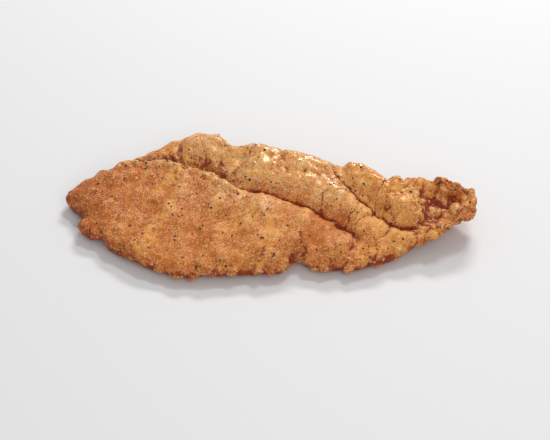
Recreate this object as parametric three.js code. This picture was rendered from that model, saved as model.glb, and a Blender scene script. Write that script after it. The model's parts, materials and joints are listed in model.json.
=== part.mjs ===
// A fried fish fillet: one piece of fish in a craggy golden crust, lying on its underside.
//
// The fillet is a leaf-shaped slab with a blunt, lobed head end, a thin belly edge, a thick loin along
// the back edge and a tail that curls up into a rough cup. A long crease runs slantwise over the upper
// side, from the back edge near the head to the belly edge near the tail, and parts belly from loin.
//
// Millimetres. +X points to the tail, +Y to the back edge, +Z up. The origin lies on the surface that
// the fillet rests on, under the middle of its box.

import * as THREE from 'three';
import { ImprovedNoise } from 'three/addons/math/ImprovedNoise.js';

// Driving dimensions
const LENGTH = 205;
const WIDTH = 88;
const LOIN_HEIGHT = 27;
const BELLY_LIP = 9.5;
const BACK_LIP = 10;
const RIM_HEIGHT = 4.6;
const BELLY_BULGE = 0.9;

// How far in from each edge the section is rounded over
const BELLY_ROUNDING = 9;
const BAND_ROUNDING = 8;
const LOIN_ROUNDING = 15;
const HEAD_ROUNDING = 11;
const TAIL_ROUNDING = 6;
const UNDER_ROUNDING = 17;

// Mesh steps: along the fillet, across its upper side and across its underside
const STEPS_ALONG = 100;
const STEPS_OVER = 40;
const STEPS_UNDER = 12;
const HEAD_INSET = 1.4;
const TAIL_INSET = 0.7;
const EDGE_CROWDING = 0.6;
const TAIL_CROWDING = 0.3;

// The outline: shares of the length from the head end, and of the width from the long axis
const OUTLINE = [
  { along: 0.045, belly: -0.135, back: 0.315 },
  { along: 0.115, belly: -0.275, back: 0.405 },
  { along: 0.205, belly: -0.415, back: 0.57 },
  { along: 0.275, belly: -0.5, back: 0.64 },
  { along: 0.34, belly: -0.482, back: 0.65 },
  { along: 0.45, belly: -0.475, back: 0.525 },
  { along: 0.6, belly: -0.43, back: 0.39 },
  { along: 0.7, belly: -0.437, back: 0.35 },
  { along: 0.815, belly: -0.315, back: 0.235 },
  { along: 0.9, belly: -0.235, back: 0.18 },
  { along: 0.975, belly: -0.11, back: 0.12 },
];

// The highest line of the upper side: its place across the fillet and its share of the loin's height
const CREST = [
  { along: 0.045, across: 0.14, height: 0.42 },
  { along: 0.205, across: 0.35, height: 0.64 },
  { along: 0.34, across: 0.45, height: 0.86 },
  { along: 0.45, across: 0.33, height: 0.99 },
  { along: 0.57, across: 0.28, height: 0.98 },
  { along: 0.7, across: 0.22, height: 0.93 },
  { along: 0.815, across: 0.1, height: 0.7 },
  { along: 0.975, across: 0.02, height: 0.45 },
];

// The crease between belly and loin, and the shorter one that parts the loin's two strips at the tail
const MAIN_CREASE = [
  { along: 0.15, across: 0.345 },
  { along: 0.24, across: 0.325 },
  { along: 0.264, across: 0.3 },
  { along: 0.281, across: 0.235 },
  { along: 0.297, across: 0.247 },
  { along: 0.313, across: 0.245 },
  { along: 0.36, across: 0.175 },
  { along: 0.397, across: 0.092 },
  { along: 0.478, across: 0.045 },
  { along: 0.595, across: -0.07 },
  { along: 0.73, across: -0.31 },
  { along: 0.8, across: -0.45 },
];
const LOIN_CREASE = [
  { along: 0.645, across: 0.2 },
  { along: 0.68, across: 0.09 },
  { along: 0.715, across: -0.01 },
  { along: 0.772, across: -0.13 },
  { along: 0.839, across: -0.185 },
  { along: 0.9, across: -0.22 },
];

// How the creases are cut: the shares of the length over which each comes and goes, depths and reaches
const LEDGE = { comes: [0.12, 0.18], goes: [0.38, 0.45], drop: 5.6, falls: [-1.2, 2.2], reach: 13 };
const VALLEY = { comes: [0.39, 0.47], goes: [0.68, 0.78], depth: 1.6, bellyReach: 9, backReach: 6 };
const VALLEY_GROOVE = { depth: 2.7, reach: 3 };
const PARTING = { comes: [0.64, 0.68], goes: [0.82, 0.87], depth: 1.4, bellyReach: 3.5, backReach: 7 };
const PARTING_GROOVE = { depth: 2.4, reach: 2.8 };
const SLOPE_STEP = 0.004;

// Bites out of the two edges, with lobes as bites below 0, lobes of the head end and dents across the ridge
const BELLY_BITES = [
  { along: 0.565, reach: 0.02, depth: 6.8 },
  { along: 0.098, reach: 0.014, depth: 5.3 },
];
const BACK_BITES = [
  { along: 0.395, reach: 0.024, depth: 10.5 },
  { along: 0.638, reach: 0.026, depth: 3.4 },
  { along: 0.667, reach: 0.009, depth: 2.4 },
  { along: 0.775, reach: 0.022, depth: 7 },
  { along: 0.835, reach: 0.016, depth: -3 },
  { along: 0.922, reach: 0.02, depth: -2.2 },
];
const HEAD_LOBES = [
  { across: 0.25, reach: 0.5, length: 11 },
  { across: -0.8, reach: 0.22, length: 3.2 },
  { across: -0.42, reach: 0.16, length: -1.2 },
];
const RIDGE_DENTS = [
  { x: -17, reach: 4.2, depth: 3.6, deepens: [0.08, 0.3] },
  { x: 34, reach: 3, depth: 4.2, deepens: [0.1, 0.22] },
];

// The tail's cup: how it curls up, its lobes and hollow, and the flap of the loin that ends over it
const TAIL = { curls: [0.77, 0.93], middle: 0.03, half: 0.17, thickness: 7.5, lift: 3.8, fringe: 4.6 };
const TAIL_LIPS = { back: 7.5, belly: 2.6, most: 1.6 };
const TAIL_TIP = { rises: [0.88, 0.99], lift: 5.2 };
const TAIL_LOBES = [
  { x: 73, y: 15, reach: 6, height: 3.6 },
  { x: 90, y: -6, reach: 5, height: 3.4 },
  { x: 79, y: -1, reach: 4, height: 2 },
  { x: 96, y: 7, reach: 3.5, height: 2.4 },
  { x: 86, y: 13, reach: 4.5, height: 3 },
  { x: 85, y: 5, reach: 7.5, height: -4 },
  { x: 85, y: -3, reach: 3, height: -2.5 },
];
const FLAP = { comes: [0.72, 0.8], end: 0.862, middle: -6, bow: 0.0002, step: 0.008, height: 5.2, side: 11 };

// Bumps of the belly's crust, the flake that lies on its middle, and the crags of the whole crust
const WAVE = { height: 3, length: 14, width: 40, slant: -0.44 };
const BUMP = { height: 1.3, size: 10 };
const FLAKE = { x: -47, slant: 0.13, wander: 5, wanderSize: 16, height: 1.1, reach: 26, fades: [-28, 4] };
const CRAGS = { open: 0.6, rim: 1.5, tail: 0.8 };
const CRAGGY_RIM = { fades: [2, 16], starts: [0.2, 0.32] };
const CRAGGY_TAIL = { starts: [0.8, 0.88] };
const LUMPS = { large: 9.5, largeHeight: 1.7, small: 5.2, smallHeight: 0.6, middle: 0.5 };

const CRUST_COLOUR = 0xc88a4c;
const CRUST_ROUGHNESS = 0.62;

const { clamp, lerp, smoothstep } = THREE.MathUtils;
const noise = new ImprovedNoise();

// A smooth curve through the stations of a table, as a function of the share of the length.
function curveThrough(stations, key) {
  const places = stations.map((station) => station.along);
  const values = stations.map((station) => station[key]);
  const interpolant = new THREE.CubicInterpolant(places, values, 1);
  return (along) => interpolant.evaluate(along)[0];
}

const bellyShare = curveThrough(OUTLINE, 'belly');
const backShare = curveThrough(OUTLINE, 'back');
const crestShare = curveThrough(CREST, 'across');
const crestHeight = curveThrough(CREST, 'height');
const mainCreaseShare = curveThrough(MAIN_CREASE, 'across');
const loinCreaseShare = curveThrough(LOIN_CREASE, 'across');

// A soft hill of height 1 with its top at distance 0.
const hill = (distance, reach) => Math.exp(-((distance / reach) ** 2));

// A quarter-round from 0 at the edge to 1 at the given distance in from it.
const rounded = (distance, reach) => Math.sqrt(1 - (1 - clamp(distance / reach, 0, 1)) ** 2);

// 1 over the stretch of the length between where a feature comes and where it goes, and 0 elsewhere.
const stretch = (along, { comes, goes }) => smoothstep(along, ...comes) * (1 - smoothstep(along, ...goes));

const sum = (items, valueOf) => items.reduce((total, item) => total + valueOf(item), 0);

// How much of an edge is bitten off at a place.
function bitten(bites, along) {
  return sum(bites, (bite) => bite.depth * hill(along - bite.along, bite.reach));
}

const bellyEdge = (along) => WIDTH * bellyShare(along) + bitten(BELLY_BITES, along);

const backEdge = (along) => WIDTH * backShare(along) - bitten(BACK_BITES, along);

// How far the head end reaches beyond its first section: one large lobe, a notch and a small lobe.
const headReach = (across) => sum(HEAD_LOBES, (lobe) => lobe.length * hill(across - lobe.across, lobe.reach));

// How far the tail's fringe reaches beyond its last section.
const tailReach = (across) => TAIL.fringe * (1 - across * across);

// The tail's share at a place: 0 on the fillet, 1 where it has curled up into the cup.
const tailShare = (along) => smoothstep(along, ...TAIL.curls);

// The lift of the tail, most at its edges, so that it is a cup with its higher lip at the back.
function tailLift(along, y) {
  const out = (y / WIDTH - TAIL.middle) / TAIL.half;
  const lip = out > 0 ? TAIL_LIPS.back : TAIL_LIPS.belly;
  const cup = TAIL.lift + lip * Math.min(out * out, TAIL_LIPS.most);
  return tailShare(along) * cup + TAIL_TIP.lift * smoothstep(along, ...TAIL_TIP.rises);
}

// The wedge-shaped body: a thin lip at the belly edge, up to the crest, and down to the back edge.
function wedge(along, y) {
  const crest = WIDTH * crestShare(along);
  const top = LOIN_HEIGHT * crestHeight(along);
  if (y < crest) {
    const lip = WIDTH * bellyShare(along);
    const climb = clamp((y - lip) / (crest - lip), 0, 1);
    return lerp(BELLY_LIP, top, climb ** BELLY_BULGE);
  }
  const fall = clamp((y - crest) / (backEdge(along) - crest), 0, 1);
  return lerp(top, Math.min(BACK_LIP, top), fall * fall);
}

// The distance from a crease at its local slope, below 0 on its belly side.
function besideCrease(creaseShare, along, y) {
  const run = 2 * SLOPE_STEP * LENGTH;
  const climb = WIDTH * (creaseShare(along + SLOPE_STEP) - creaseShare(along - SLOPE_STEP));
  return ((y - WIDTH * creaseShare(along)) * run) / Math.hypot(run, climb);
}

// A broad valley with a narrow groove along its bottom.
function furrow(beside, valley, groove) {
  const reach = beside < 0 ? valley.bellyReach : valley.backReach;
  return valley.depth * hill(beside, reach) + groove.depth * hill(beside, groove.reach);
}

// The long crease. Near the head the belly's crust ends over it in a ledge; further on the loin rises
// steeply from a broad valley.
function mainCrease(along, y) {
  const beside = besideCrease(mainCreaseShare, along, y);
  const drop = LEDGE.drop * smoothstep(beside, ...LEDGE.falls) * hill(Math.max(beside, 0), LEDGE.reach);
  return -stretch(along, LEDGE) * drop - stretch(along, VALLEY) * furrow(beside, VALLEY, VALLEY_GROOVE);
}

// The short crease that parts the loin's two strips.
function loinCrease(along, y) {
  const beside = besideCrease(loinCreaseShare, along, y);
  return -stretch(along, PARTING) * furrow(beside, PARTING, PARTING_GROOVE);
}

// The upper strip of the loin ends in a flap that stands over the tail.
function flap(along, y) {
  const beyondCrease = smoothstep(y - WIDTH * loinCreaseShare(along), 0, FLAP.side);
  const end = FLAP.end - FLAP.bow * (y - FLAP.middle) ** 2;
  const goes = [end - FLAP.step, end + FLAP.step];
  return FLAP.height * beyondCrease * stretch(along, { comes: FLAP.comes, goes });
}

// The lobes of the tail's rim, and the hollow between them.
function tailLobes(x, y) {
  return sum(TAIL_LOBES, (lobe) => lobe.height * hill(Math.hypot(x - lobe.x, y - lobe.y), lobe.reach));
}

// How far the loin's ridge is dented.
function ridgeDent(x, y) {
  return sum(RIDGE_DENTS, ({ x: place, reach, depth, deepens }) => {
    return depth * smoothstep(y / WIDTH, ...deepens) * hill(x - place, reach);
  });
}

// The faint waves and bumps of the belly's crust, and the flake on its middle with its edge to the head.
function bellyRelief(x, y) {
  const wave = WAVE.height * noise.noise((x + WAVE.slant * y) / WAVE.length, y / WAVE.width, 0.5);
  const bump = BUMP.height * noise.noise(x / BUMP.size, y / BUMP.size, 7.5);
  const beyond = x - FLAKE.x - FLAKE.slant * y - FLAKE.wander * noise.noise(y / FLAKE.wanderSize, 3.3, 0);
  const step = smoothstep(beyond, -2, 2) * hill(Math.max(beyond, 0), FLAKE.reach);
  return wave + bump + FLAKE.height * step * smoothstep(y, ...FLAKE.fades);
}

function upperSide(along, y) {
  const x = LENGTH * (along - 0.5);
  const belly = 1 - smoothstep(y - WIDTH * mainCreaseShare(along), -12, 0);
  const creases = mainCrease(along, y) + loinCrease(along, y);
  const body = wedge(along, y) + creases + belly * bellyRelief(x, y) - ridgeDent(x, y);
  const slab = lerp(body, TAIL.thickness, tailShare(along));
  return slab + flap(along, y) + tailLobes(x, y) + tailLift(along, y);
}

// How craggy the crust is: most on the tail, then along the edges, least on the open belly.
function cragginess(along, edge) {
  const rim = (1 - smoothstep(edge, ...CRAGGY_RIM.fades)) * smoothstep(along, ...CRAGGY_RIM.starts);
  return CRAGS.open + CRAGS.rim * rim + CRAGS.tail * smoothstep(along, ...CRAGGY_TAIL.starts);
}

// Lumps of crust: round hills with sharp valleys between them.
function crags({ x, y, z }) {
  const large = Math.abs(noise.noise(x / LUMPS.large, y / LUMPS.large, z / LUMPS.large + 4));
  const small = Math.abs(noise.noise(x / LUMPS.small + 9, y / LUMPS.small, z / LUMPS.small));
  return LUMPS.largeHeight * large + LUMPS.smallHeight * small - LUMPS.middle;
}

// One point of the skin. side is 1 on the upper side and -1 on the underside.
function skinPoint(step, across, side) {
  const first = OUTLINE[0].along;
  const last = OUTLINE.at(-1).along;
  const along = lerp(first, last, step);
  const x = LENGTH * (along - 0.5);
  const y = lerp(bellyEdge(along), backEdge(along), (across + 1) / 2);

  const fromBelly = y - bellyEdge(along);
  const fromBack = backEdge(along) - y;
  const fromHead = LENGTH * (along - first) + HEAD_INSET;
  const fromTail = LENGTH * (last - along) + TAIL_INSET;

  const lift = tailLift(along, y);
  const rim = RIM_HEIGHT + lift;
  const ends = rounded(fromHead, HEAD_ROUNDING) * rounded(fromTail, TAIL_ROUNDING);
  let z;
  if (side > 0) {
    const backRounding = lerp(BAND_ROUNDING, LOIN_ROUNDING, smoothstep(along, ...LEDGE.goes));
    const edges = rounded(fromBelly, BELLY_ROUNDING) * rounded(fromBack, backRounding);
    z = lerp(rim, upperSide(along, y), edges * ends);
  } else {
    const edges = rounded(fromBelly, UNDER_ROUNDING) * rounded(fromBack, UNDER_ROUNDING);
    z = lerp(rim, lift, edges * ends);
  }

  const headShift = headReach(across) * (1 - smoothstep(step, 0, 0.22));
  const tailShift = tailReach(across) * smoothstep(step, 0.86, 1);
  const edge = Math.min(fromBelly, fromBack, fromHead, fromTail);
  return { position: new THREE.Vector3(x - headShift + tailShift, y, z), along, edge };
}

// Steps along the fillet from 0 to 1, closer together towards the tail.
function stepsAlong() {
  const even = Array.from({ length: STEPS_ALONG + 1 }, (_, i) => i / STEPS_ALONG);
  return even.map((step) => step + TAIL_CROWDING * step * (1 - step));
}

// Places across a section from -1 to 1, closer together near the two edges.
function placesAcross(steps) {
  const even = Array.from({ length: steps + 1 }, (_, i) => (2 * i) / steps - 1);
  return even.map((place) => lerp(place, Math.sin((place * Math.PI) / 2), EDGE_CROWDING));
}

// The closed section at one step: over the upper side from belly to back, then home along the underside.
function section(step) {
  const over = placesAcross(STEPS_OVER).map((across) => skinPoint(step, across, 1));
  const under = placesAcross(STEPS_UNDER).slice(1, -1).reverse();
  return [...over, ...under.map((across) => skinPoint(step, across, -1))];
}

// The triangles between two neighbouring sections, their diagonals laid the way that the creases run.
function joinSections(from, to, count) {
  const faces = [];
  for (let i = 0; i < count; i += 1) {
    const next = (i + 1) % count;
    faces.push([from + i, to + i, from + next], [to + i, to + next, from + next]);
  }
  return faces;
}

// The triangles that close an end, worked across from the belly edge between the two sides of a section.
function closeEnd(start, count, facing) {
  const upper = Array.from({ length: STEPS_OVER + 1 }, (_, i) => start + i);
  const lower = [start, ...Array.from({ length: STEPS_UNDER }, (_, i) => start + ((count - 1 - i) % count))];
  lower[STEPS_UNDER] = start + STEPS_OVER;
  const faces = [];
  let i = 0;
  let k = 0;
  while (i < STEPS_OVER || k < STEPS_UNDER) {
    const upperIsBehind = k === STEPS_UNDER || (i < STEPS_OVER && i / STEPS_OVER <= k / STEPS_UNDER);
    const face = upperIsBehind ? [lower[k], upper[i + 1], upper[i]] : [lower[k], lower[k + 1], upper[i]];
    if (upperIsBehind) i += 1;
    else k += 1;
    if (new Set(face).size === 3) faces.push(facing > 0 ? face : face.reverse());
  }
  return faces;
}

function skinGeometry(points, faces) {
  const geometry = new THREE.BufferGeometry();
  const positions = points.flatMap((point) => point.position.toArray());
  geometry.setAttribute('position', new THREE.Float32BufferAttribute(positions, 3));
  geometry.setIndex(faces.flat());
  geometry.computeVertexNormals();
  return geometry;
}

// Pushes the crust's lumps out along the smooth skin's normals, and leaves the resting face flat.
function addCrags(points, geometry) {
  const normal = new THREE.Vector3();
  points.forEach((point, i) => {
    normal.fromBufferAttribute(geometry.attributes.normal, i);
    const resting = smoothstep(-normal.z, 0.9, 0.995);
    const height = cragginess(point.along, point.edge) * crags(point.position);
    point.position.addScaledVector(normal, (1 - resting) * height);
    point.position.z = Math.max(point.position.z, 0);
  });
}

function filletGeometry() {
  const sections = stepsAlong().map(section);
  const count = sections[0].length;
  const points = sections.flat();
  const lastStart = STEPS_ALONG * count;
  const faces = [...closeEnd(0, count, -1), ...closeEnd(lastStart, count, 1)];
  for (let i = 0; i < STEPS_ALONG; i += 1) {
    faces.push(...joinSections(i * count, (i + 1) * count, count));
  }
  addCrags(points, skinGeometry(points, faces));
  return skinGeometry(points, faces);
}

// Sets the middle of the fillet's box over the origin, with its resting face at height 0.
function centred(geometry) {
  geometry.computeBoundingBox();
  const middle = geometry.boundingBox.getCenter(new THREE.Vector3());
  return geometry.translate(-middle.x, -middle.y, -geometry.boundingBox.min.z);
}

const crust = new THREE.MeshStandardMaterial({ color: CRUST_COLOUR, roughness: CRUST_ROUGHNESS });
const fillet = new THREE.Mesh(centred(filletGeometry()), crust);
fillet.name = 'fillet';

const part = new THREE.Group();
part.add(fillet);

export default part;
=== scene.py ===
# %% [markdown]
# # A fried fish fillet
#
# A fillet of fish, dredged in seasoned flour and fried, lies on a pale table with its better side up.
# The imported model gives the body: a leaf-shaped slab with a thick loin, a thin belly and a tail that
# curled up in the hot oil. What it lacks is the crust, and this file makes that: grain, bumps, flaky
# edges, browned creases darkened further with painted shade, loose crumbs and specks of pepper. The
# finish also paints light on the crest and on lit tops. Everything is in metres, in the frame of the
# imported model: X runs to the tail, Y to the thick back edge and Z up.

# %% Load the imported model
import json
import math

import bmesh
import bpy
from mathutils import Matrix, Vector

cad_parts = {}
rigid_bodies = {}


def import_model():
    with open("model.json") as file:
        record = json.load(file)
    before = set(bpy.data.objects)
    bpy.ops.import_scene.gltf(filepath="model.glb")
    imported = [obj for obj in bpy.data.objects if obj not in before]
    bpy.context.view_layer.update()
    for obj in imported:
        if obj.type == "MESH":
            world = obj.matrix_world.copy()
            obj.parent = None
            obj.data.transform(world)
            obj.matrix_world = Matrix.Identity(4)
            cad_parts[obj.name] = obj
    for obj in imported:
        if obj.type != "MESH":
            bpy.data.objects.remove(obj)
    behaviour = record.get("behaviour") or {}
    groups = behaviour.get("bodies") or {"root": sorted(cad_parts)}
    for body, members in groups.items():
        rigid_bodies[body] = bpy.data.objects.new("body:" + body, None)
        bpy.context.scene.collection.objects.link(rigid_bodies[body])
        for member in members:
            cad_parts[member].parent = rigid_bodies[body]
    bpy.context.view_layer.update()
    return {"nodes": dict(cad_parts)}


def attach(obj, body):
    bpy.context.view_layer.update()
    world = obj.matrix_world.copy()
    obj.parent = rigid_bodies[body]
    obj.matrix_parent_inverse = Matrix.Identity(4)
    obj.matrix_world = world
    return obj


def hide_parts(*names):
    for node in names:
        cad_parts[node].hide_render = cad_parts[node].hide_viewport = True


MM = 0.001

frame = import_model()
scene = bpy.context.scene

# %% [markdown]
# ## The camera
#
# Food is usually pictured from the height of someone who sits at the table, here about 42 degrees above
# it, with a long lens so that the near and the far end keep their true proportions. The camera could be
# aimed with a Track To constraint. One angle is enough here, so it is simply turned down by that angle.

# %% Camera
VIEW_HEIGHT = math.radians(42)
VIEW_DISTANCE = 0.9
VIEW_TARGET = Vector((2.2, -7.5, 3.9)) * MM
VIEW_LENS = 118

camera_data = bpy.data.cameras.new("table_camera")
camera_data.lens = VIEW_LENS
camera = bpy.data.objects.new("table_camera", camera_data)
scene.collection.objects.link(camera)
view_direction = Vector((0, -math.cos(VIEW_HEIGHT), math.sin(VIEW_HEIGHT)))
camera.location = VIEW_TARGET + VIEW_DISTANCE * view_direction
camera.rotation_euler = (math.pi / 2 - VIEW_HEIGHT, 0, 0)
scene.camera = camera
print("camera at", [round(value, 3) for value in camera.location])

# %% [markdown]
# ## Table and light
#
# Fried crust shines a little with fat, so its look depends on what it mirrors. A small bright light high
# behind gives every bump a lit back and a shaded front. A low strip of light, also behind, is what the
# flat top of the ridge mirrors, and that gives the ridge its white glints. A large, gentle light in
# front keeps the creases from going black, and a pale sky fills in the rest. Point lights would be
# simpler, but their hard shadows look like a flash.

# %% Table and light
TABLE_SIZE = 6.0
TABLE_COLOUR = (0.79, 0.8, 0.82, 1)
TABLE_ROUGHNESS = 0.7
TABLE_SHINE = 0.2
SKY_COLOUR = (1.0, 0.985, 0.965, 1)
SKY_STRENGTH = 0.41
NEUTRAL = (1.0, 0.99, 0.97)
WARM = (1.0, 0.97, 0.93)
SOFTBOXES = {
    "back_softbox": {"place": (0.35, 0.55, 1.08), "size": (0.32, 0.16), "power": 3.5, "colour": NEUTRAL},
    "ridge_softbox": {"place": (0.22, 0.9, 0.72), "size": (0.42, 0.14), "power": 6.6, "colour": NEUTRAL},
    "front_softbox": {"place": (0.3, -0.9, 0.8), "size": (0.8, 0.8), "power": 4.5, "colour": WARM},
}


def add_light(name, place, size, power, colour):
    """A rectangular soft light that faces the middle of the fillet."""
    data = bpy.data.lights.new(name, "AREA")
    data.shape = "RECTANGLE"
    data.size = size[0]
    data.size_y = size[1]
    data.energy = power
    data.color = colour
    light = bpy.data.objects.new(name, data)
    scene.collection.objects.link(light)
    light.location = place
    light.rotation_euler = (-Vector(place)).to_track_quat("-Z", "Y").to_euler()


def add_table():
    """A plain pale table, much larger than the picture."""
    mesh = bpy.data.meshes.new("table")
    half = TABLE_SIZE / 2
    corners = [(-half, -half, 0), (half, -half, 0), (half, half, 0), (-half, half, 0)]
    mesh.from_pydata(corners, [], [(0, 1, 2, 3)])
    finish = bpy.data.materials.new("pale_table")
    finish.use_nodes = True
    shader = finish.node_tree.nodes["Principled BSDF"]
    shader.inputs["Base Color"].default_value = TABLE_COLOUR
    shader.inputs["Roughness"].default_value = TABLE_ROUGHNESS
    shader.inputs["Specular IOR Level"].default_value = TABLE_SHINE
    mesh.materials.append(finish)
    table = bpy.data.objects.new("table", mesh)
    scene.collection.objects.link(table)


add_table()
for softbox_name, softbox in SOFTBOXES.items():
    add_light(softbox_name, **softbox)

world = bpy.data.worlds.new("pale_sky")
world.use_nodes = True
sky = world.node_tree.nodes["Background"]
sky.inputs["Color"].default_value = SKY_COLOUR
sky.inputs["Strength"].default_value = SKY_STRENGTH
scene.world = world
scene.view_settings.view_transform = "Standard"

# %% [markdown]
# ## Formulas as nodes
#
# The crust's relief and its colours both follow rules: a groove along a line, bumps where the rim turns
# over, darker browning in the creases. Such rules are node trees in Blender. A tree could be clicked
# together or built node by node, but a rule is easier to read as a formula. So a small class, Field,
# stands for a node's output, and every sign in a formula adds Math nodes. The same class works in
# Geometry Nodes and in a material.

# %% Formulas as nodes


class Field:
    """A node's output that can stand in a formula."""

    def __init__(self, tree, socket):
        self.tree = tree
        self.socket = socket

    def calculate(self, operation, *others):
        values = dict(enumerate((self, *others)))
        node = add_node(self.tree, "ShaderNodeMath", values, operation=operation)
        return Field(self.tree, node.outputs[0])

    def __add__(self, other):
        return self.calculate("ADD", other)

    def __sub__(self, other):
        return self.calculate("SUBTRACT", other)

    def __rsub__(self, other):
        return self.calculate("MULTIPLY_ADD", -1.0, other)

    def __mul__(self, other):
        return self.calculate("MULTIPLY", other)

    def __truediv__(self, other):
        return self.calculate("DIVIDE", other)

    def __rtruediv__(self, other):
        return self.calculate("POWER", -1.0) * other

    def __neg__(self):
        return self * -1.0

    def __abs__(self):
        return self.calculate("ABSOLUTE")

    __radd__ = __add__
    __rmul__ = __mul__

    def squared(self):
        return self * self

    def at_least(self, floor):
        return self.calculate("MAXIMUM", floor)

    def at_most(self, ceiling):
        return self.calculate("MINIMUM", ceiling)

    def rise(self, low, high):
        """0 below low, 1 above high, and a smooth slope between them."""
        ends = {"Value": self, "From Min": low, "From Max": high}
        node = add_node(self.tree, "ShaderNodeMapRange", ends, interpolation_type="SMOOTHSTEP")
        return Field(self.tree, node.outputs["Result"])

    def hill(self, reach):
        """1 where the field is 0, falling away smoothly on both sides."""
        return (-(self / reach).squared()).calculate("EXPONENT")


def connect(tree, socket, value):
    """Plugs a field into a socket, or sets the socket to a plain value."""
    if isinstance(value, Field):
        tree.links.new(value.socket, socket)
    else:
        socket.default_value = value


def add_node(tree, kind, inputs, **settings):
    """Adds a node with its settings and its inputs, which are named by the socket's name or number."""
    node = tree.nodes.new(kind)
    for name, value in settings.items():
        setattr(node, name, value)
    for key, value in inputs.items():
        connect(tree, node.inputs[key], value)
    return node


def split(vector):
    """The X, Y and Z of a vector field."""
    node = add_node(vector.tree, "ShaderNodeSeparateXYZ", {0: vector})
    return [Field(vector.tree, output) for output in node.outputs]


def noise(place, size, seed, detail=1.0, roughness=0.5):
    """Cloudy noise around 0, in patches of the given size."""
    inputs = {"Vector": place, "W": seed, "Scale": 1.0 / size, "Detail": detail, "Roughness": roughness}
    node = add_node(place.tree, "ShaderNodeTexNoise", inputs, noise_dimensions="4D", normalize=False)
    return Field(place.tree, node.outputs[0])


print("formula helpers ready")

# %% [markdown]
# ## Tools for the trees
#
# Every Geometry Nodes tree here starts and ends alike. It has one mesh coming in, named sizes as inputs,
# and Realize Instances with Set Material at its end. The result is then turned into a plain mesh, so
# that what is drawn is exactly what is stored.

# %% Tools for the trees


class MakingTree:
    """A Geometry Nodes tree with named inputs."""

    def __init__(self, name, sizes):
        self.tree = bpy.data.node_groups.new(name, "GeometryNodeTree")
        self.sizes = sizes
        self.sockets = {}
        interface = self.tree.interface
        interface.new_socket("Geometry", in_out="INPUT", socket_type="NodeSocketGeometry")
        interface.new_socket("Geometry", in_out="OUTPUT", socket_type="NodeSocketGeometry")
        for label, value in sizes.items():
            kind = "NodeSocketInt" if isinstance(value, int) else "NodeSocketFloat"
            self.sockets[label] = interface.new_socket(label, in_out="INPUT", socket_type=kind)
        self.entry = self.tree.nodes.new("NodeGroupInput")
        self.geometry = Field(self.tree, self.entry.outputs["Geometry"])

    def size(self, label):
        """A named input of the tree."""
        return Field(self.tree, self.entry.outputs[label])

    def add(self, kind, inputs, output=0, **settings):
        """A new node's output."""
        node = add_node(self.tree, kind, inputs, **settings)
        return Field(self.tree, node.outputs[output])

    def combined(self, x, y, z):
        """The vector of three fields."""
        return self.add("ShaderNodeCombineXYZ", {"X": x, "Y": y, "Z": z})

    def stored(self, geometry, values, domain="POINT"):
        """The geometry with named values at its points or instances."""
        for name, value in values.items():
            geometry = self.add(
                "GeometryNodeStoreNamedAttribute",
                {"Geometry": geometry, "Name": name, "Value": value},
                data_type="FLOAT",
                domain=domain,
            )
        return geometry

    def moved(self, geometry, direction, distance):
        """The geometry with each point moved along a direction."""
        offset = self.add("ShaderNodeVectorMath", {0: direction, "Scale": distance}, operation="SCALE")
        return self.add("GeometryNodeSetPosition", {"Geometry": geometry, "Offset": offset})

    def end(self, geometry, material):
        """Ends the tree with real geometry in one material."""
        real = self.add("GeometryNodeRealizeInstances", {"Geometry": geometry})
        dressed = self.add("GeometryNodeSetMaterial", {"Geometry": real, "Material": material})
        leave = self.tree.nodes.new("NodeGroupOutput")
        self.tree.links.new(dressed.socket, leave.inputs["Geometry"])

    def add_to(self, obj):
        """Puts the tree on an object, with its sizes set."""
        modifier = obj.modifiers.new(self.tree.name, "NODES")
        modifier.node_group = self.tree
        for label, value in self.sizes.items():
            modifier[self.sockets[label].identifier] = value


def made_plain(obj):
    """Puts the result of an object's modifiers in its mesh and takes the modifiers off."""
    bpy.context.view_layer.update()
    depsgraph = bpy.context.evaluated_depsgraph_get()
    mesh = bpy.data.meshes.new_from_object(obj.evaluated_get(depsgraph), depsgraph=depsgraph)
    mesh.name = obj.name
    obj.modifiers.clear()
    obj.data = mesh
    mesh.shade_smooth()
    triangles = sum(len(face.vertices) - 2 for face in mesh.polygons)
    print(obj.name, "has", len(mesh.vertices), "points and", triangles, "triangles")
    return obj


print("tree tools ready")

# %% [markdown]
# ## The crust's finish
#
# Fried flour is golden on the whole, browner in patches, dusted with pale flour where that lies thick,
# and red-brown in creases and hollows, partly where fat gathers and partly as painted shade. A single
# colour would look like clay, and a picture would not fit another side. So the finish mixes four colours
# by noise of two sizes: mottle of three millimetres, and grain of less than one, which also dents the
# surface. Three values that the crust's mesh carries, for crevices, crowns and golden parts, say where
# the browning goes and where shade and light are painted in. The pale flour colour also paints a
# highlight on the loin's crest. The top of the ridge is oilier than the rest, the fat tints what it
# mirrors, and some light scatters inside the crust.

# %% Colours of the crust
GOLD = (0.72, 0.282, 0.04, 1)
BROWN = (0.54, 0.145, 0.018, 1)
# Red-brown for creases and hollows, where it is partly browning and partly painted shade.
RED_BROWN = (0.26, 0.026, 0.009, 1)
# Pale flour, which also paints the highlight on the crest and light on lit tops.
PALE_FLOUR_AND_HIGHLIGHT = (0.78, 0.5, 0.26, 1)
FAT_TINT = (1.0, 0.88, 0.58, 1)
FINISH_SEED = 3.0


def mixed(share, under, over):
    """One colour laid over another by a share from 0 to 1."""
    node = add_node(share.tree, "ShaderNodeMix", {0: share, 6: under, 7: over}, data_type="RGBA")
    return Field(share.tree, node.outputs[2])


def carried(tree, name):
    """A value that the mesh carries at each of its points."""
    node = add_node(tree, "ShaderNodeAttribute", {}, attribute_name=name)
    return Field(tree, node.outputs["Fac"])


def new_finish(name):
    """An empty material, its shader, and the place of a point on the piece."""
    finish = bpy.data.materials.new(name)
    finish.use_nodes = True
    tree = finish.node_tree
    place = Field(tree, tree.nodes.new("ShaderNodeTexCoord").outputs["Object"])
    return finish, tree.nodes["Principled BSDF"], place


print("crust colours:", GOLD[:3], BROWN[:3], RED_BROWN[:3], PALE_FLOUR_AND_HIGHLIGHT[:3])

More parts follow.
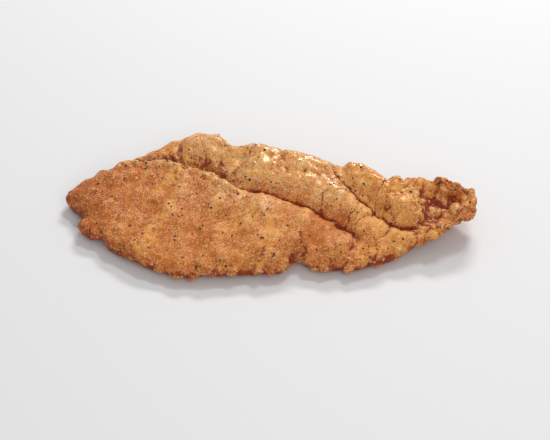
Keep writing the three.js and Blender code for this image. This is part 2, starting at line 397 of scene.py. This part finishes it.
# %% Crust finish
MOTTLE_SIZE = 3 * MM
FLOUR_GRAIN_SIZE = 0.65 * MM
FLOUR_GRAIN_DEPTH = 0.12 * MM
FAT_PATCH_SIZE = 6 * MM
# The crest's heights and end bound a painted highlight in pale flour colour.
HIGHLIGHT_HEIGHTS = (13 * MM, 22 * MM)
HIGHLIGHT_END = (35 * MM, 55 * MM)
OILY_HEIGHTS = (17 * MM, 23 * MM)
DRY_ROUGHNESS = 0.57
CRUST_SHINE = 0.45
DENT_STRENGTH = 0.8
SCATTER_SHARE = 0.5
SCATTER_REACH = 1.2 * MM
SCATTER_COLOUR = (1.0, 0.32, 0.12)


def ridge_shares(place):
    """How far a point lies on the loin's crest, painted as a highlight, and on the ridge's oily top."""
    along, _, height = split(place)
    loin_top_highlight = height.rise(*HIGHLIGHT_HEIGHTS) * (1.0 - along.rise(*HIGHLIGHT_END))
    return loin_top_highlight, height.rise(*OILY_HEIGHTS)


def crust_colour(place, grain, loin_top_highlight):
    """Gold, browned in patches and creases, floured on the crowns, with painted light and painted shade."""
    mottle = noise(place, MOTTLE_SIZE, FINISH_SEED + 1, 2.0, 0.6)
    dark_fat_and_shade = carried(place.tree, "dark_fat_and_shade")
    crown_and_highlight = carried(place.tree, "crown_and_highlight")
    golden_and_painted_light = carried(place.tree, "golden_and_painted_light")
    # Browning also follows the golden value, which carries painted light and painted shade.
    toast_and_shade = mottle * 0.9 - grain * 0.35 - crown_and_highlight * 0.4 - golden_and_painted_light * 1.2 + 0.6
    colour = mixed(toast_and_shade.rise(-0.6, 1.2), GOLD, BROWN)
    # Pale flour on grain and crowns, plus painted light on lit tops and a painted highlight on the crest.
    flour_and_highlight = grain * 1.45 + crown_and_highlight * 0.5 + golden_and_painted_light * 0.15 + loin_top_highlight * 0.35
    colour = mixed(flour_and_highlight.rise(-0.2, 1.3), colour, PALE_FLOUR_AND_HIGHLIGHT)
    # Red-brown in crevices and hollows: partly browning, partly painted shade.
    red_burn_and_shade = dark_fat_and_shade + mottle * 0.2 - grain * 0.3
    return mixed(red_burn_and_shade.rise(0.08, 0.78), colour, RED_BROWN)


def make_crust_finish():
    """The material of the crust and of its loose bits."""
    finish, shader, place = new_finish("fried_crust")
    tree = finish.node_tree
    grain = noise(place, FLOUR_GRAIN_SIZE, FINISH_SEED + 2, 1.5, 0.6)
    loin_top_highlight, oily = ridge_shares(place)
    fat = noise(place, FAT_PATCH_SIZE, FINISH_SEED + 4, 2.0) * 0.12 + oily * 0.42
    connect(tree, shader.inputs["Base Color"], crust_colour(place, grain, loin_top_highlight))
    connect(tree, shader.inputs["Roughness"], DRY_ROUGHNESS - fat + grain * 0.1)
    shader.inputs["Specular IOR Level"].default_value = CRUST_SHINE
    shader.inputs["Specular Tint"].default_value = FAT_TINT
    shader.inputs["Subsurface Weight"].default_value = SCATTER_SHARE
    shader.inputs["Subsurface Radius"].default_value = SCATTER_COLOUR
    shader.inputs["Subsurface Scale"].default_value = SCATTER_REACH
    dents = {
        "Strength": DENT_STRENGTH,
        "Distance": FLOUR_GRAIN_DEPTH,
        "Height": grain * (1.0 - oily * 0.7),
    }
    bump = add_node(tree, "ShaderNodeBump", dents)
    tree.links.new(bump.outputs["Normal"], shader.inputs["Normal"])
    return finish


crust_finish = make_crust_finish()
print(crust_finish.name, "has", len(crust_finish.node_tree.nodes), "nodes")

# %% [markdown]
# ## The body under the crust
#
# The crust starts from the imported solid, which has its true form but facets of about two millimetres.
# Its loose triangles are merged and paired into quads, because quads subdivide into an even grid. Two
# levels of Subdivision Surface then give points about half a millimetre apart, fine enough to carry real
# grain. A voxel remesh would also give an even mesh, but it would blur the creases.

# %% The body under the crust
SAME_POINT = 1e-6
SMOOTHING_LEVELS = 2


def paired_mesh(node, name):
    """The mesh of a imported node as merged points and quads."""
    solid = bmesh.new()
    solid.from_mesh(node.data)
    bmesh.ops.remove_doubles(solid, verts=solid.verts, dist=SAME_POINT)
    bmesh.ops.join_triangles(
        solid, faces=solid.faces, angle_face_threshold=math.pi, angle_shape_threshold=math.pi
    )
    solid.verts.index_update()
    points = [point.co.copy() for point in solid.verts]
    faces = [[point.index for point in face.verts] for face in solid.faces]
    solid.free()
    mesh = bpy.data.meshes.new(name)
    mesh.from_pydata(points, [], faces)
    mesh.shade_smooth()
    return mesh


crust = bpy.data.objects.new("fried_crust", paired_mesh(frame["nodes"]["fillet"], "fried_crust"))
scene.collection.objects.link(crust)
smoothing = crust.modifiers.new("smoothing", "SUBSURF")
smoothing.levels = SMOOTHING_LEVELS
smoothing.render_levels = SMOOTHING_LEVELS
quads = sum(len(face.vertices) == 4 for face in crust.data.polygons)
print("body:", len(crust.data.polygons), "faces, of which", quads, "are quads")

# %% [markdown]
# ## The relief of the crust
#
# Crust breaks where the fish bends, gathers in nodules around the rim and the tail, and has bumps and
# grain all over. This could be sculpted by hand. Here every feature follows a rule, so Geometry Nodes
# lifts each point along its normal by a sum of terms. The first thing that the terms need is where a
# point lies: along and across the fillet, on the upper side or below, and how far from the crease lines.
# The lines are given by stations, as shares of the length and the width of the fillet's leaf shape.

# %% Where a point lies
LEAF_LENGTH = 205 * MM
LEAF_WIDTH = 88 * MM
LEAF_MIDDLE = (1.1 * MM, -6.5 * MM)
LEDGE_AND_CREASE = [
    (0.15, 0.345), (0.24, 0.325), (0.264, 0.3), (0.281, 0.235), (0.297, 0.247), (0.313, 0.245),
    (0.36, 0.175), (0.397, 0.092), (0.478, 0.045), (0.595, -0.07), (0.73, -0.31), (0.8, -0.45),
]
LOIN_CREASE = [(0.645, 0.2), (0.68, 0.09), (0.715, -0.01), (0.772, -0.13), (0.839, -0.185), (0.9, -0.22)]
SLOPE_STEP = 1.0 * MM
UPPER_TURN = (-0.1, 0.4)
WANDER_SIZE = 8 * MM
WANDER_REACH = 2.6 * MM
FRAY_SIZE = 2.2 * MM
FRAY_REACH = 0.6 * MM
BAND_SLANT = (0.91, 0.42)


def line_through(x, stations):
    """Where a line lies across the fillet. Its stations are shares of the length and of the width."""
    node = add_node(x.tree, "ShaderNodeFloatCurve", {"Value": (x - LEAF_MIDDLE[0]) / LEAF_LENGTH + 0.5})
    node.mapping.extend = "HORIZONTAL"
    curve = node.mapping.curves[0]
    shares = [(along, across + 0.5) for along, across in stations]
    curve.points[0].location = shares[0]
    curve.points[1].location = shares[-1]
    for share in shares[1:-1]:
        curve.points.new(*share)
    node.mapping.update()
    return (Field(x.tree, node.outputs[0]) - 0.5) * LEAF_WIDTH + LEAF_MIDDLE[1]


class CrustPoint:
    """What the relief needs to know about a point of the body."""

    def __init__(self, maker):
        self.maker = maker
        self.seed = maker.size("Seed")
        self.place = maker.add("GeometryNodeInputPosition", {})
        self.normal = maker.add("GeometryNodeInputNormal", {})
        self.x, self.y, self.z = split(self.place)
        self.up = split(self.normal)[2]
        self.upper = self.up.rise(*UPPER_TURN)
        self.wander = noise(self.place, WANDER_SIZE, self.seed, 2.0) * WANDER_REACH
        self.fray = noise(self.place, FRAY_SIZE, self.seed + 1.0) * FRAY_REACH
        self.over_bands = self.x * BAND_SLANT[0] - self.y * BAND_SLANT[1]
        self.along_bands = self.x * BAND_SLANT[1] + self.y * BAND_SLANT[0]

    def between(self, start, full, fade, end):
        """1 over a stretch of the fillet's upper side, given in millimetres along it, and 0 elsewhere."""
        return self.x.rise(start * MM, full * MM) * (1.0 - self.x.rise(fade * MM, end * MM)) * self.upper

    def beside(self, stations):
        """The distance to a crease line at its local slope, below 0 on its belly side."""
        climb = line_through(self.x + SLOPE_STEP, stations) - line_through(self.x - SLOPE_STEP, stations)
        slope = climb / (2 * SLOPE_STEP)
        return (self.y - line_through(self.x, stations)) / (slope.squared() + 1.0).calculate("SQRT")


print("crease stations:", len(LEDGE_AND_CREASE), "and", len(LOIN_CREASE))

# %% [markdown]
# ## Ledge, flap and creases
#
# Towards the head the belly's crust ends in a flake that stands over the loin: a raised lip, then a
# sudden step down. Over the tail a flap of the loin ends in the same way. A lip could be cut as a sharp
# edge, but real ones are frayed, so the distance to their line gets noise before it is used. From the
# ledge a long, thin, dark crease runs on between belly and loin, and a short one parts the loin's two
# strips.

# %% Ledge, flap and creases
LIP_CLIMB = (-5 * MM, -0.8 * MM)
LIP_DROP = (-0.4 * MM, 0.5 * MM)
STEP_DOWN = (-0.3 * MM, 0.7 * MM)
FOOT_END = (1.5 * MM, 7 * MM)
SHADE_END = (5 * MM, 13 * MM)
FLAP_END = 0.858
FLAP_BOW = 0.0002
FLAP_MIDDLE = -12.5
FLAP_BORDER = (-1 * MM, 4 * MM)
FLAP_BACK = (-1 * MM, 5 * MM)
LEDGE_STRETCH = (-84, -74, -22, -14)
FLAP_STRETCH = (50, 58, 90, 96)
LONG_CREASE_STRETCH = (-30, -16, 34, 50)
LOIN_CREASE_STRETCH = (28, 36, 66, 78)


def flake_edge(point, edge):
    """A frayed lip near a line, the low foot beyond it, and the wider painted shadow of that foot."""
    frayed = edge + point.wander * 0.6 + point.fray * 5.5
    lip = frayed.rise(*LIP_CLIMB) * (1.0 - frayed.rise(*LIP_DROP))
    beyond = frayed.rise(*STEP_DOWN)
    foot = beyond * (1.0 - frayed.rise(*FOOT_END))
    # The shade only darkens the colour: a painted shadow behind the step, partly browning.
    shade = beyond * (1.0 - frayed.rise(*SHADE_END))
    return lip, foot, shade


def beyond_flap(point):
    """The distance to the bowed end of the flap over the tail, below 0 on the flap."""
    bow = ((point.y / MM - FLAP_MIDDLE).squared() * FLAP_BOW - FLAP_END + 0.5) * LEAF_LENGTH
    return point.x - LEAF_MIDDLE[0] + bow


def flap_side(point):
    """0 on the belly side of the loin's crease and 1 on the flap's side."""
    return point.beside(LOIN_CREASE).rise(*FLAP_BORDER)


def ledge_terms(point):
    """The lip, foot and painted shadow of the ledge towards the head, and of the flap over the tail."""
    ledge = flake_edge(point, point.beside(LEDGE_AND_CREASE))
    ledge_stretch = point.between(*LEDGE_STRETCH)
    flap = flake_edge(point, beyond_flap(point))
    flap_stretch = flap_side(point) * point.between(*FLAP_STRETCH) * (1.0 - point.y.rise(*FLAP_BACK))
    return [one * ledge_stretch + other * flap_stretch for one, other in zip(ledge, flap)]


def crease_terms(point):
    """How far a point lies in one of the two creases."""
    width = point.maker.size("Crease Width")
    stray = point.wander * 0.35 + point.fray
    long_crease = (point.beside(LEDGE_AND_CREASE) + stray).hill(width) * point.between(*LONG_CREASE_STRETCH)
    loin_crease = (point.beside(LOIN_CREASE) + stray).hill(width) * point.between(*LOIN_CREASE_STRETCH)
    return long_crease + loin_crease


print("ledge along", LEDGE_STRETCH, "and flap along", FLAP_STRETCH)

# %% [markdown]
# ## The muscle under the crust
#
# The muscle shows through the crust: as slanting bands, as thin arcs where its segments meet, and as
# wrinkles where the crust shrank over it. Each could be drawn line by line, but they are many and none
# is special. So bands and wrinkles are noise that is stretched along the slant. The arcs are the borders
# of random cells along a slanting line, which Voronoi noise gives in one dimension.

# %% The muscle under the crust
BAND_STRETCH = 0.3
ARC_SPACING = 13 * MM
ARC_WIDTH = 0.6 * MM
ARC_BEND_SIZE = 15 * MM
ARC_BEND = 6 * MM
ARC_PATCH_SIZE = 12 * MM
ARC_STRETCH = (-50, -20, 70, 80)
WRINKLE_STRETCH = 0.6
WRINKLE_TOP = 0.3
CRACK_WIDTH = 0.07
LOIN_FADE = (1 * MM, 11 * MM)


def muscle_bands(point):
    """Slanting bands that follow the segments of the muscle, above and below 0."""
    maker = point.maker
    place = maker.combined(point.over_bands, point.along_bands * BAND_STRETCH, point.z * BAND_STRETCH)
    return noise(place, maker.size("Band Size"), point.seed + 9.0, 1.5) * point.upper


def segment_arcs(point):
    """How far a point lies on an arc between two segments of the muscle."""
    bend = noise(point.place, ARC_BEND_SIZE, point.seed + 2.0) * ARC_BEND
    border = point.maker.add(
        "ShaderNodeTexVoronoi",
        {"W": point.over_bands + bend, "Scale": 1.0 / ARC_SPACING},
        "Distance",
        voronoi_dimensions="1D",
        feature="DISTANCE_TO_EDGE",
    )
    patchy = noise(point.place, ARC_PATCH_SIZE, point.seed + 3.0).rise(-0.3, 0.3)
    return (border * ARC_SPACING).hill(ARC_WIDTH) * point.between(*ARC_STRETCH) * patchy


def wrinkles(point):
    """Low mounds from 0 up, and the thin cracks between them."""
    maker = point.maker
    place = maker.combined(point.over_bands, point.along_bands * WRINKLE_STRETCH, point.z)
    wave = noise(place, maker.size("Wrinkle Size"), point.seed + 10.0)
    return abs(wave).at_most(WRINKLE_TOP), wave.hill(CRACK_WIDTH)


def loin_share(point):
    """0 on the belly and 1 on the loin away from the crease, made paler there, partly as painted light."""
    return point.beside(LEDGE_AND_CREASE).rise(*LOIN_FADE) * point.upper


print("arcs every", ARC_SPACING, "m along", ARC_STRETCH)

# %% [markdown]
# ## Nodules, pleats and hollow
#
# Loose flour clots on the rim and on the tail and fries into round nodules with sharp valleys between
# them. Balls could be set there one by one, but the distance to the middle of random cells, taken from a
# constant, gives just such domes at once. The tail's wall is drawn into fine upright pleats, which are
# noise stretched upwards. The tail's cup is deepest in its middle and has a round lobe on its near wall,
# and a hill over an ellipse describes each of them.

# %% Nodules, pleats and hollow
TAIL_HOLLOW = {"place": (85.5, -4), "reach": (9, 5)}
TAIL_LUMPS = {"place": (81, -8), "reach": (9, 9)}
TAIL_LOBE = {"place": (89.5, -15.5), "reach": (6.5, 4.5)}
RIM_TOP = (0.3, 0.85)
RIM_BOTTOM = (-0.95, -0.5)
RIM_START = (-66 * MM, -54 * MM)
TAIL_START = (64 * MM, 70 * MM)
BEHIND_FLAP = (-1 * MM, 3 * MM)
NODULE_SOFTNESS = 0.15
NODULE_PATCH_SIZE = 5 * MM
PLEAT_STRETCH = 0.2
PLEAT_WALL = (0.5, 0.9)
PLEAT_START = (62 * MM, 74 * MM)


def rim_share(point):
    """How far a point lies on the craggy rim, which starts behind the head."""
    turning = (1.0 - point.up.rise(*RIM_TOP)) * point.up.rise(*RIM_BOTTOM)
    return turning * point.x.rise(*RIM_START)


def tail_share(point):
    """How far a point lies on the tail beyond the flap."""
    return point.x.rise(*TAIL_START) * beyond_flap(point).rise(*BEHIND_FLAP)


def nodules(point):
    """Round domes with sharp valleys between them, above and below 0."""
    cells = point.maker.add(
        "ShaderNodeTexVoronoi",
        {
            "Vector": point.place,
            "Scale": 1.0 / point.maker.size("Nodule Size"),
            "Smoothness": NODULE_SOFTNESS,
        },
        "Distance",
        feature="SMOOTH_F1",
    )
    return 0.6 - cells + noise(point.place, NODULE_PATCH_SIZE, point.seed + 4.0) * 0.25


def pleats(point):
    """Fine upright pleats where the crust shrank along the tail's wall, above and below 0."""
    maker = point.maker
    place = maker.combined(point.x, point.y * PLEAT_STRETCH, point.z * PLEAT_STRETCH)
    wall = (1.0 - point.up.rise(*PLEAT_WALL)) * point.x.rise(*PLEAT_START)
    return noise(place, maker.size("Pleat Size"), point.seed + 8.0) * wall


def spot(point, place, reach):
    """A hill over an ellipse on the upper side, given in millimetres along and across."""
    along = (point.x - place[0] * MM) / (reach[0] * MM)
    across = (point.y - place[1] * MM) / (reach[1] * MM)
    return (-(along.squared() + across.squared())).calculate("EXPONENT") * point.upper


print("tail hollow at", TAIL_HOLLOW["place"])

# %% [markdown]
# ## The sum of the terms
#
# A point's lift is the sum of all terms, each with its named height. The same terms say how the crust
# has browned and where light and shade are painted into its colour, which could be painted on
# afterwards, but then colour and form would not agree. So the mesh carries three values for the finish.
# A crevice value is high where fat gathers and the crust browns, and it also paints shade into creases,
# hollows, the ground behind steps, the valleys between nodules, the head and the low edge. A crown value
# is high where flour lies thick, and it also paints light on lit tops and on the lips. A golden value is
# high where the crust stays light, and it also paints light on the loin, the narrow part and the lips,
# and shade at the rim, the low edge and the head. Two more, craggy and frayed, say where loose bits may
# stick. The plain numbers in the sums are the shares of the terms.

# %% The sum of the terms
HEAD_FADE = (-95 * MM, -35 * MM)
LOW_RIM = (3 * MM, 10 * MM)
NARROW_START = (20 * MM, 45 * MM)
WRINKLE_PATCH_SIZE = 14 * MM
MOUND_MIDDLE = 0.15
ROUGH_HEIGHTS = (19 * MM, 26 * MM)
ROUGH_TURN = (0.2, 0.7)


def roughness(point):
    """How bumpy the crust is: smooth on the thin belly, rough on the loin's ridge and round the rim."""
    ridge = point.z.rise(*ROUGH_HEIGHTS) * 0.7
    return ridge + (1.0 - point.up.rise(*ROUGH_TURN)) * 0.6 + 0.4


def grain_terms(point):
    """Unevenness of three sizes, which is all over the crust: swell, bump and grain."""
    size = point.maker.size
    coarse = roughness(point)
    swell = noise(point.place, size("Swell Size"), point.seed + 5.0)
    bump = noise(point.place, size("Bump Size"), point.seed + 6.0, 1.5) * coarse
    grain = noise(point.place, size("Grain Size"), point.seed + 7.0, 2.0, 0.6) * (coarse * 0.5 + 0.3)
    return swell, bump, grain


class CrustTerms:
    """How far a point lies on each part of the fillet, and the terms of the relief there."""

    def __init__(self, point):
        # Head and low edge only tint the colour: partly browning, partly painted shade.
        self.head = 1.0 - point.x.rise(*HEAD_FADE)
        self.low = 1.0 - point.z.rise(*LOW_RIM)
        self.narrow = point.x.rise(*NARROW_START) * (1.0 - flap_side(point))
        self.loin = loin_share(point)
        self.rim = rim_share(point)
        self.tail = tail_share(point)
        self.lip, self.foot, self.shade = ledge_terms(point)
        self.creases = crease_terms(point)
        self.arcs = segment_arcs(point)
        self.bands = muscle_bands(point)
        self.folds = pleats(point)
        self.hollow = spot(point, **TAIL_HOLLOW)
        self.lobe = spot(point, **TAIL_LOBE).rise(0.2, 0.6)
        tail_lumps = spot(point, **TAIL_LUMPS) * self.tail * 2.2
        self.lumpy = (self.rim * (1.0 - self.tail) + tail_lumps).at_most(1.8)
        self.domes = nodules(point) * self.lumpy
        self.mounds, self.cracks = wrinkles(point)
        patchy = noise(point.place, WRINKLE_PATCH_SIZE, point.seed + 11.0).rise(-0.3, 0.2)
        self.wrinkled = ((self.rim * 0.7 + 0.5) * patchy + self.tail + self.narrow * 0.5).at_most(1.0)
        self.swell, self.bump, self.grain = grain_terms(point)


def crust_lift(terms, size):
    """How far a point is lifted along its normal."""
    raised = [
        terms.swell * size("Swell Height"),
        terms.bump * size("Bump Height"),
        terms.grain * size("Grain Height"),
        terms.bands * size("Band Height"),
        terms.domes * size("Nodule Height"),
        terms.folds * size("Pleat Height"),
        (terms.lip - terms.foot) * size("Ledge Height"),
        terms.lobe * size("Lobe Height"),
        (terms.mounds - MOUND_MIDDLE) * terms.wrinkled * size("Wrinkle Height"),
    ]
    sunk = (terms.creases + terms.arcs * 0.4) * size("Crease Depth")
    return sum(raised) - sunk - terms.hollow * size("Hollow Depth")


def carried_values(terms):
    """What the mesh carries for the finish and for the loose bits."""
    # Darker lines, hollows, shade behind steps, nodule valleys: partly browning, partly painted shade.
    valleys = (terms.lumpy * 0.1 - terms.domes).at_least(0.0)
    lines = terms.creases * 0.9 + terms.arcs * 0.6 + terms.cracks * terms.wrinkled * 0.55
    hollows = terms.shade * 0.45 + terms.hollow * 0.5 + valleys * 1.5
    # Darker head and low edge: partly browning, partly painted shade; the tail browns a little.
    toasted_and_shaded = terms.head * 0.26 + terms.low * 0.5 + terms.tail * 0.1
    # Tops of pleats, bumps, grain and nodules are paler: partly flour, partly painted light.
    crests = terms.folds * 0.5 + terms.bump * 0.3 + terms.grain * 0.2 + terms.domes.at_least(0.0) * 0.8
    # Paler: bands are the crust's own; loin partly, narrow part and lips wholly painted light.
    light = terms.bands * 1.3 + terms.loin * 0.75 + terms.narrow * 0.25 + terms.lip * 0.5
    # Darker: the tail browns; the rim, low edge and head are partly browning, partly painted shade.
    dark = terms.rim * 0.35 + terms.low * 0.6 + terms.head * 0.9 + terms.tail * 0.5
    return {
        "dark_fat_and_shade": lines + hollows + toasted_and_shaded - crests,
        # Crown: flour lying thick, plus painted light on lit tops and on the lips.
        "crown_and_highlight": terms.swell * 0.3 + terms.bump * 1.2 + terms.grain * 0.8 + terms.domes + terms.lip * 0.2,
        "golden_and_painted_light": light - dark,
        "craggy": (terms.rim * 0.6 + terms.tail).at_most(1.0),
        "frayed": terms.lip,
    }


print("terms of the relief ready")

# %% [markdown]
# ## The relief tree
#
# Now the sizes are named and the points are moved. What would sink below the table is set back on it,
# as the soft underside of a hot fillet settles flat.

# %% Relief tree
RELIEF_SIZES = {
    "Grain Size": 1.1 * MM,
    "Grain Height": 0.16 * MM,
    "Bump Size": 2.2 * MM,
    "Bump Height": 0.38 * MM,
    "Swell Size": 8.0 * MM,
    "Swell Height": 1.0 * MM,
    "Nodule Size": 5.4 * MM,
    "Nodule Height": 2.2 * MM,
    "Band Size": 7.0 * MM,
    "Band Height": 1.2 * MM,
    "Pleat Size": 2.2 * MM,
    "Pleat Height": 1.4 * MM,
    "Wrinkle Size": 7.0 * MM,
    "Wrinkle Height": 1.4 * MM,
    "Crease Width": 0.7 * MM,
    "Crease Depth": 1.4 * MM,
    "Ledge Height": 1.3 * MM,
    "Hollow Depth": 1.5 * MM,
    "Lobe Height": 2.0 * MM,
    "Seed": 11.0,
}


def make_relief():
    """The tree that turns the smooth body into crust."""
    maker = MakingTree("crust_relief", RELIEF_SIZES)
    point = CrustPoint(maker)
    terms = CrustTerms(point)
    marked = maker.stored(maker.geometry, carried_values(terms))
    lifted = maker.moved(marked, point.normal, crust_lift(terms, maker.size))
    settled = maker.combined(point.x, point.y, point.z.at_least(0.0))
    rested = maker.add("GeometryNodeSetPosition", {"Geometry": lifted, "Position": settled})
    maker.end(rested, crust_finish)
    return maker


relief = make_relief()
relief.add_to(crust)
made_plain(crust)
print("relief tree:", len(relief.tree.nodes), "nodes")

# %% [markdown]
# ## Loose bits
#
# Nuggets of crust cling to the tail and the rim, small crumbs lie on the frayed ledge, and ground pepper
# is in the flour. Placing hundreds of bits by hand would take a day. Geometry Nodes scatters points over
# the crust, more of them where a stored value says so, puts a ball on each, turns and sizes it by chance
# and then dents it with noise, so that no two are alike. The seed is fixed, so each run gives the same.

# %% Scatter tree
FULL_TURN = 2 * math.pi
LENGTH_RANGE = (0.8, 1.3)
WIDTH_RANGE = (0.6, 1.0)
BALL_RADIUS = 0.5
DENT_SEED = 5.0


def random_between(maker, low, high, draw):
    """A random number for each point. Every draw has a seed of its own."""
    inputs = {2: low, 3: high, 8: maker.size("Seed") + draw}
    return maker.add("FunctionNodeRandomValue", inputs, 1, data_type="FLOAT")


def spread_points(maker, zone):
    """Points spread over a zone of the crust, with the normal and the upright rotation of each."""
    density = zone(maker) * maker.size("Bits per Area")
    inputs = {"Mesh": maker.geometry, "Density": density, "Seed": maker.size("Seed")}
    node = add_node(maker.tree, "GeometryNodeDistributePointsOnFaces", inputs)
    return [Field(maker.tree, node.outputs[name]) for name in ("Points", "Normal", "Rotation")]


def bit_ball(maker, roundness):
    """A ball with values for the crust's finish: painted shade below and painted light on top."""
    ball = maker.add("GeometryNodeMeshIcoSphere", {"Radius": BALL_RADIUS, "Subdivisions": roundness})
    height = split(maker.add("GeometryNodeInputPosition", {}))[2]
    pale = height + maker.size("Paleness")
    # Darker below and paler on top is painted shade and light; the set paleness is the bit's own.
    values = {"dark_fat_and_shade": (-0.15 - height) * 1.2, "crown_and_highlight": pale * 0.4, "golden_and_painted_light": pale}
    return maker.stored(ball, values)


def dented(maker, geometry):
    """The geometry with noise in its surface."""
    place = maker.add("GeometryNodeInputPosition", {})
    outward = maker.add("GeometryNodeInputNormal", {})
    dents = noise(place, maker.size("Dent Size"), DENT_SEED) * maker.size("Dent Depth")
    return maker.moved(geometry, outward, dents)


def make_scatter(name, sizes, zone, roundness, material):
    """A tree that covers a zone of the crust with small irregular bits."""
    maker = MakingTree(name, sizes)
    size = maker.size
    points, normal, upright = spread_points(maker, zone)
    chance = random_between(maker, 0.0, 1.0, 1.0)
    across = size("Smallest") + chance.squared() * (size("Largest") - size("Smallest"))
    spin = maker.combined(0.0, 0.0, random_between(maker, 0.0, FULL_TURN, 2.0))
    turning = {"Rotation": upright, "Rotate By": spin}
    placing = {
        "Points": maker.moved(points, normal, -across * size("Sunk")),
        "Instance": bit_ball(maker, roundness),
        "Rotation": maker.add("FunctionNodeRotateRotation", turning, rotation_space="LOCAL"),
        "Scale": maker.combined(
            across * random_between(maker, *LENGTH_RANGE, 3.0),
            across * random_between(maker, *WIDTH_RANGE, 4.0),
            across * size("Flatness"),
        ),
    }
    bits = maker.add("GeometryNodeInstanceOnPoints", placing)
    tinted = maker.stored(bits, {"tint": random_between(maker, 0.0, 1.0, 5.0)}, "INSTANCE")
    real = maker.add("GeometryNodeRealizeInstances", {"Geometry": tinted})
    maker.end(dented(maker, real), material)
    return maker


def scattered(name, sizes, zone, roundness, material):
    """A piece made of bits scattered over the crust."""
    piece = bpy.data.objects.new(name, crust.data.copy())
    scene.collection.objects.link(piece)
    make_scatter(name, sizes, zone, roundness, material).add_to(piece)
    return made_plain(piece)


def stored_zone(maker, name):
    """A value that the crust stores at its points."""
    return maker.add("GeometryNodeInputNamedAttribute", {"Name": name}, "Attribute", data_type="FLOAT")


print("scatter tools ready")

# %% Nuggets and crumbs
NUGGET_SIZES = {
    "Bits per Area": 14000.0,
    "Smallest": 2.0 * MM,
    "Largest": 5.0 * MM,
    "Flatness": 0.55,
    "Sunk": 0.22,
    "Dent Size": 2.0 * MM,
    "Dent Depth": 1.3 * MM,
    "Paleness": 0.0,
    "Seed": 4,
}
CRUMB_SIZES = {
    "Bits per Area": 30000.0,
    "Smallest": 0.6 * MM,
    "Largest": 2.3 * MM,
    "Flatness": 0.75,
    "Sunk": 0.15,
    "Dent Size": 0.8 * MM,
    "Dent Depth": 0.3 * MM,
    "Paleness": 0.3,
    "Seed": 8,
}
TABLE_GAP = (3 * MM, 5 * MM)


def clear_of_table(maker):
    """1 well above the table and 0 close to it."""
    return split(maker.add("GeometryNodeInputPosition", {}))[2].rise(*TABLE_GAP)


def nugget_zone(maker):
    """The tail and the rim."""
    return stored_zone(maker, "craggy").rise(0.35, 1.0) * clear_of_table(maker)


def crumb_zone(maker):
    """Everywhere a little, more at the frayed ledge and on the rim."""
    edge = stored_zone(maker, "frayed").calculate("POWER", 3.0)
    richer = edge * 9.0 + stored_zone(maker, "craggy") * 1.2
    return (richer + 0.35) * clear_of_table(maker)


nuggets = scattered("crust_nuggets", NUGGET_SIZES, nugget_zone, roundness=3, material=crust_finish)
crumbs = scattered("crust_crumbs", CRUMB_SIZES, crumb_zone, roundness=2, material=crust_finish)

# %% [markdown]
# ## Pepper
#
# The flour holds ground pepper, black bits of husk and red-brown ones, from half a millimetre to about
# two millimetres across, and mostly small. They could be dots in the crust's finish, but real flakes
# catch the light and cast a tiny shadow. Their finish reads the random tint that each flake carries.

# %% Pepper
PEPPER_BLACK = (0.022, 0.018, 0.022, 1)
PEPPER_RED = (0.16, 0.018, 0.008, 1)
PEPPER_ROUGHNESS = 0.55
PEPPER_SPECKLE = 0.4 * MM
PEPPER_SIZES = {
    "Bits per Area": 34000.0,
    "Smallest": 0.5 * MM,
    "Largest": 1.7 * MM,
    "Flatness": 0.4,
    "Sunk": 0.0,
    "Dent Size": 0.5 * MM,
    "Dent Depth": 0.12 * MM,
    "Paleness": 0.0,
    "Seed": 21,
}


def make_pepper_finish():
    """The material of the pepper: some of it black, and more of it red-brown."""
    finish, shader, place = new_finish("ground_pepper")
    tree = finish.node_tree
    speckle = noise(place, PEPPER_SPECKLE, FINISH_SEED + 6)
    share = (carried(tree, "tint") + speckle * 0.1).rise(0.3, 0.4)
    connect(tree, shader.inputs["Base Color"], mixed(share, PEPPER_BLACK, PEPPER_RED))
    connect(tree, shader.inputs["Roughness"], PEPPER_ROUGHNESS + speckle * 0.15)
    return finish


def pepper_zone(maker):
    """Everywhere, a little denser at the ledge."""
    return (stored_zone(maker, "frayed") * 1.5 + 1.0) * clear_of_table(maker)


pepper_finish = make_pepper_finish()
pepper = scattered("pepper_flakes", PEPPER_SIZES, pepper_zone, roundness=1, material=pepper_finish)

# %% [markdown]
# ## The crust rides on the body
#
# The crust stands for the imported solid, so the solid is hidden and the crust rides on its body.

# %% Finish
for piece in (crust, nuggets, crumbs, pepper):
    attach(piece, "root")
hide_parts("fillet")
